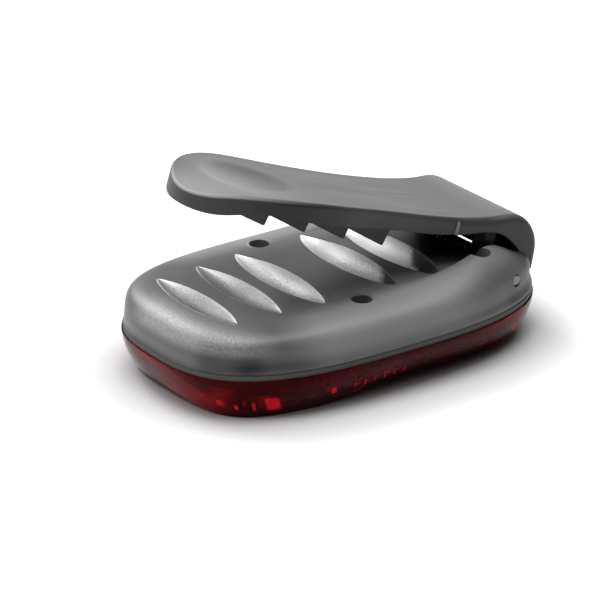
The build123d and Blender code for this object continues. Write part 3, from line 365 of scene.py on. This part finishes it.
def groove_light(tree, axes, ragged, place, half_width, half_length, shadow_edge, lean, middle):
    """Mask of one groove, and its tone from the middle to the rim, with painted highlights and a painted
    shadow past its edge.
    """
    along = maths(tree, "MULTIPLY", axes["y"], 1 / (half_length * MM))
    taper = scaled(tree, maths(tree, "MULTIPLY", along, along), -1.0)
    taper = maths(tree, "POWER", maths(tree, "MAXIMUM", taper, 0.0001), GROOVE_TAPER)
    across = maths(tree, "SUBTRACT", axes["x"], place * MM)
    across = maths(tree, "DIVIDE", across, maths(tree, "MULTIPLY", taper, half_width * MM))
    off = maths(tree, "ABSOLUTE", across)
    mask = maths(tree, "MULTIPLY", smooth_step(tree, off, *GROOVE_EDGE),
                 maths(tree, "LESS_THAN", maths(tree, "ABSOLUTE", along), 1.0))
    # Painted highlight: lighter towards the rim and at the far end
    rim = maths(tree, "POWER", off, GROOVE_RIM_POWER)
    silver = scaled(tree, rim, GROOVE_RIM_HIGHLIGHT - middle, middle)
    far = span(tree, axes["y"], (0, GROOVE_FAR_SHARE * half_length))
    silver = maths(tree, "MULTIPLY", silver, scaled(tree, far, GROOVE_FAR_HIGHLIGHT))
    # Edge of the painted shadow, ragged by noise; past it the groove takes a dark painted tone with a
    # pale painted rim line
    border = scaled(tree, across, lean * MM, shadow_edge * MM)
    border = scaled(tree, ragged, GROOVE_SHADOW_RAGGEDNESS * MM, border)
    lit = span(tree, maths(tree, "SUBTRACT", axes["y"], border), GROOVE_SHADOW_EDGE_SPAN)
    shadow_tone = scaled(tree, smooth_step(tree, across, *GROOVE_SHADOW_RIM), *GROOVE_SHADOW_GAIN)
    return mask, scaled(tree, lit, maths(tree, "SUBTRACT", silver, shadow_tone), shadow_tone)


def housing_material():
    """Grey moulded plastic with painted light and shade; the grooves have a silvery grain, with painted
    highlights, and painted shadow towards the hinge.
    """
    mat = grained("housing_plastic", grey(HOUSING_TONE), HOUSING_ROUGHNESS, grain=MOULD_GRAIN,
                  depth=MOULD_DEPTH)
    tree, shader, base, where, axes = reopen(mat)
    # Painted shade towards the hinge recess
    amount, places = RECESS_SHADE_PATCH
    base = tone(tree, base, scaled(tree, spans(tree, axes, places), amount))
    # Painted highlight along the free-end shoulder
    grain = scaled(tree, noise(tree, where, *SHOULDER_HIGHLIGHT_GRAIN), *SHOULDER_HIGHLIGHT_GAIN)
    total = scaled(tree, spans(tree, axes, SHOULDER_HIGHLIGHT), grain)
    # Painted highlights and painted shade on flanks, ends and top
    for amount, places in HOUSING_LIGHT_SHADE_PATCHES:
        total = scaled(tree, spans(tree, axes, places), amount, total)
    base = tone(tree, base, total)
    glitter = scaled(tree, noise(tree, where, *GLITTER_GRAIN), *GLITTER_GAIN)
    glitter = scaled(tree, noise(tree, where, *SWEEP_GRAIN), SWEEP_AMOUNT, glitter)
    ragged = maths(tree, "SUBTRACT", noise(tree, where, *SHADOW_EDGE_GRAIN), 0.5)
    grooves = 0.0
    for groove in GROOVES:
        mask, silver = groove_light(tree, axes, ragged, *groove)
        silver = tone(tree, grey(1.0), maths(tree, "MULTIPLY", silver, glitter))
        base = blend(tree, mask, base, silver)
        grooves = maths(tree, "MAXIMUM", mask, grooves)
    put(tree, shader, "Base Color", base)
    put(tree, shader, "Metallic", maths(tree, "MULTIPLY", grooves, GROOVE_METAL))
    gloss = shader.inputs["Roughness"].links[0].from_socket
    put(tree, shader, "Roughness", scaled(tree, grooves, GROOVE_ROUGHNESS, gloss))
    return mat


def lever_axes(tree, axes):
    """Add the lever's own axes to the object's."""
    back = maths(tree, "SUBTRACT", LEVER_PIVOT[0] * MM, axes["x"])
    rise = maths(tree, "SUBTRACT", axes["z"], LEVER_PIVOT[1] * MM)
    cos, sin = math.cos(LEVER_TURN), math.sin(LEVER_TURN)
    axes["reach"] = scaled(tree, rise, sin, maths(tree, "MULTIPLY", back, cos))
    axes["height"] = scaled(tree, rise, cos, maths(tree, "MULTIPLY", back, -sin))
    axes["seam"] = maths(tree, "ABSOLUTE", maths(tree, "SUBTRACT", axes["reach"], SEAM_PLACE * MM))


def lever_material():
    """Grey moulded plastic, streaked lengthwise; painted highlights on the thumb pad, hood top and side
    step, painted shade on walls and inside.
    """
    mat = grained("lever_plastic", grey(LEVER_TONE), LEVER_ROUGHNESS, grain=MOULD_GRAIN,
                  depth=MOULD_DEPTH, Specular_IOR_Level=LEVER_SPECULAR)
    tree, shader, base, where, axes = reopen(mat)
    lever_axes(tree, axes)
    streak = maths(tree, "SUBTRACT", noise(tree, where, *STREAK_GRAIN), 0.5)
    streak = maths(tree, "MULTIPLY", streak, span(tree, axes["reach"], STREAK_SPAN))
    base = tone(tree, base, scaled(tree, streak, STREAK_AMOUNT))
    # Painted highlight on the thumb pad
    ahead = maths(tree, "SUBTRACT", axes["reach"], PAD_PLACE[0] * MM)
    aside = scaled(tree, axes["y"], PAD_SQUEEZE, -PAD_SQUEEZE * PAD_PLACE[1] * MM)
    off = add(tree, "ShaderNodeCombineXYZ", X=ahead, Y=aside)
    off = add(tree, "ShaderNodeVectorMath", {"operation": "LENGTH"}, **{"0": off}).outputs["Value"]
    pad_highlight = maths(tree, "POWER", span(tree, off, PAD_EDGE), PAD_POWER)
    base = tone(tree, base, scaled(tree, pad_highlight, PAD_HIGHLIGHT_AMOUNT))
    normal = add(tree, "ShaderNodeNewGeometry").outputs["True Normal"]
    facing = add(tree, "ShaderNodeSeparateXYZ", Vector=normal).outputs["Z"]
    # Painted highlight on the hood's top by the hinge and painted shade on the side walls towards the
    # tip
    for (amount, places), ends in ((CROWN_HIGHLIGHT_PATCH, CROWN_FACING), (WALL_SHADE_PATCH, WALL_FACING)):
        mask = maths(tree, "MULTIPLY", smooth_step(tree, facing, *ends), spans(tree, axes, places))
        base = tone(tree, base, scaled(tree, mask, amount))
    # Painted highlight along the side step and painted shade inside the hood
    for amount, places in (SEAM_HIGHLIGHT_PATCH, HOLLOW_SHADE_PATCH):
        base = tone(tree, base, scaled(tree, spans(tree, axes, places), amount))
    put(tree, shader, "Base Color", base)
    edge = next(node for node in tree.nodes if node.type == "BEVEL")
    edge.samples = 8
    soft = spans(tree, axes, SOFT_PAD)
    put(tree, edge, "Radius", scaled(tree, soft, SOFT_PAD_ROUND * MM, LEVER_ROUND * MM))
    return mat


def lens_material():
    """Deep red transparent plastic with painted highlights on facets and ribs in its wall and a painted
    glow at its free end.
    """
    mat, tree, shader = start_material("red_lens")
    where = coordinates(tree)
    axes = named_axes(tree, where)
    fine = noise(tree, where, *LENS_GRAIN)
    # Painted highlights on the facets and ribs, only on the lens sides
    glints = 0.0
    for place, height, half_width, half_height in FACETS + RIBS:
        lean = scaled(tree, axes["z"], -FACET_LEAN, (place + FACET_LEAN * height) * MM)
        across = maths(tree, "ABSOLUTE", maths(tree, "SUBTRACT", axes["x"], lean))
        up = maths(tree, "ABSOLUTE", maths(tree, "SUBTRACT", axes["z"], height * MM))
        spot = maths(tree, "MULTIPLY", span(tree, across, (half_width, FACET_EDGES[0] * half_width)),
                     span(tree, up, (half_height, FACET_EDGES[1] * half_height)))
        glints = maths(tree, "MAXIMUM", spot, glints)
    glints = maths(tree, "MULTIPLY", glints, span(tree, axes["side"], FACET_SIDE))
    # Painted glow low in the free end of the lens
    amount, places = LENS_GLOW
    glints = maths(tree, "MAXIMUM", glints, maths(tree, "MULTIPLY", spans(tree, axes, places), amount))
    glints = maths(tree, "MULTIPLY", glints, scaled(tree, fine, *FACET_GAIN))
    deep = tone(tree, LENS_DEEP, scaled(tree, fine, *LENS_DEEP_GAIN))
    put(tree, shader, "Base Color", blend(tree, glints, deep, LENS_GLINT))
    put(tree, shader, "Roughness", scaled(tree, fine, *LENS_ROUGHNESS_GAIN))
    put(tree, shader, "Transmission Weight", scaled(tree, glints, *LENS_CLEAR_GAIN))
    for key, value in LENS_SETTINGS.items():
        put(tree, shader, key, value)
    edge = add(tree, "ShaderNodeBevel", {"samples": 4}, Radius=0.3 * MM)
    put(tree, shader, "Normal", add(tree, "ShaderNodeBump", Strength=0.3, Distance=0.02 * MM,
                                    Height=fine, Normal=edge))
    return mat


# Node, material, colour, roughness and what else differs from the plain grain
METAL = {"Metallic": 1.0}
PLAIN_MATERIALS = (
    ("lens_gasket", "seal_rubber", (0.060, 0.068, 0.062), 0.6, {"mottle": 0.2}),
    ("hinge_pin", "pin_steel", grey(0.22), 0.38, {"stretch": (1, 8, 1), **METAL}),
    ("housing_screws", "screw_steel", grey(0.30), 0.35, METAL),
    ("clip_spring", "spring_steel", grey(0.05), 0.50, METAL),
    ("reflex_panel", "prism_plastic", (0.5, 0.01, 0.02), 0.12, {"round_edges": 0.05}),
    ("led_reflector", "reflector_metal", grey(0.75), 0.15, METAL),
    ("led_1", "led_1_resin", (0.75, 0.35, 0.3), 0.15, {"round_edges": 0.1}),
    ("led_2", "led_2_resin", (0.75, 0.35, 0.3), 0.15, {"round_edges": 0.1}),
    ("led_3", "led_3_resin", (0.75, 0.35, 0.3), 0.15, {"round_edges": 0.1}),
    ("circuit_board", "board_resist", (0.012, 0.10, 0.04), 0.35, {"mottle": 0.25}),
    ("controller_chip", "chip_epoxy", grey(0.015), 0.5, {}),
    ("board_resistors", "resistor_glaze", grey(0.02), 0.3, {}),
    ("board_capacitor", "can_aluminium", grey(0.6), 0.3, METAL),
    ("tactile_switch", "switch_plastic", grey(0.02), 0.4, {}),
    ("switch_plunger", "plunger_plastic", grey(0.03), 0.4, {}),
    ("power_button", "button_rubber", grey(0.03), 0.6, {"depth": 0.05}),
    ("battery_cradle", "cradle_plastic", grey(0.03), 0.5, {}),
    ("battery_1", "battery_1_sleeve", (0.16, 0.17, 0.19), 0.3, {"Metallic": 0.6}),
    ("battery_2", "battery_2_sleeve", (0.16, 0.17, 0.19), 0.3, {"Metallic": 0.6}),
    ("negative_contact", "negative_contact_nickel", (0.55, 0.53, 0.48), 0.3, METAL),
    ("positive_contact", "positive_contact_nickel", (0.55, 0.53, 0.48), 0.3, METAL),
    ("bridge_contact", "bridge_contact_nickel", (0.55, 0.53, 0.48), 0.3, METAL))

dress("rear_housing", housing_material())
dress("clip_lever", lever_material())
dress("lens", lens_material())
for node_name, material_name, colour, roughness, extras in PLAIN_MATERIALS:
    dress(node_name, grained(material_name, colour, roughness, **extras))

place_camera()
place_world()
place_floor()
for settings in LIGHTS:
    place_light(*settings)

scene.view_settings.view_transform = "Standard"
